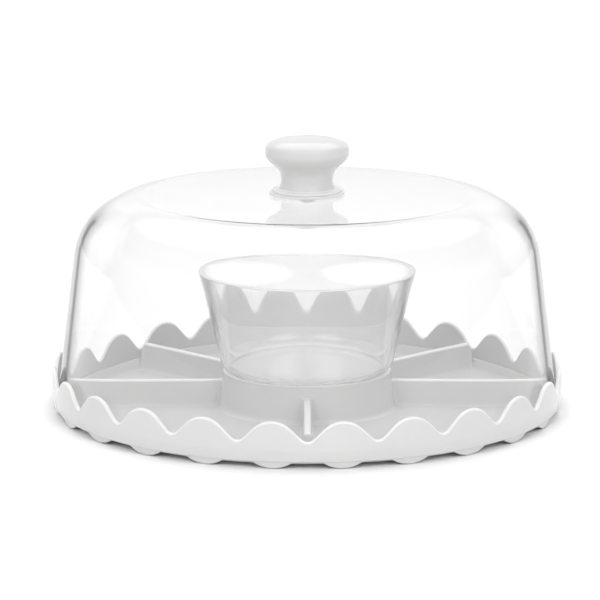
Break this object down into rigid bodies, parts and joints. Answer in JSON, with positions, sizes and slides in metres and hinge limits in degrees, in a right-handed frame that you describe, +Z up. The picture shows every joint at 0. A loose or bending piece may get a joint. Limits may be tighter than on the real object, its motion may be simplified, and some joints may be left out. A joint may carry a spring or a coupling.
{
  "type": "chip and dip server",
  "caption": "Round scalloped compartment tray with a raised hub, a clear dip bowl on the hub and a clear domed cover with a knob.",
  "frame": {"origin": "on the table, under the middle of the tray", "axes": "+Z up through the knob, -Y towards the front, where one divider points, +X to the right seen from the front"},
  "size_m": [0.32, 0.32, 0.17],
  "materials": {
    "white_plastic": "glossy white moulded plastic",
    "clear_plastic": "clear polished acrylic",
    "clear_silicone": "translucent soft silicone",
    "steel": "bright stainless steel",
    "brass": "machined brass"
  },
  "bodies": {
    "tray": {"serving_tray": "white_plastic"},
    "bowl": {"dip_bowl": "clear_plastic"},
    "cover": {"dome_cover": "clear_plastic", "outer_gasket": "clear_silicone", "inner_gasket": "clear_silicone", "washer": "steel", "fixing_screw": "steel"},
    "knob": {"knob": "white_plastic", "threaded_insert": "brass"}
  },
  "joints": [
    {"name": "bowl_lift", "type": "slide", "parent": "tray", "child": "bowl", "axis": [0, 0, 1], "range_m": [0, 0.035]},
    {"name": "dome_lift", "type": "slide", "parent": "tray", "child": "cover", "axis": [0, 0, 1], "range_m": [0, 0.16]},
    {"name": "knob_turn", "type": "hinge", "parent": "cover", "child": "knob", "pos_m": [0, 0, 0.1363], "axis": [0, 0, 1], "continuous": true}
  ]
}
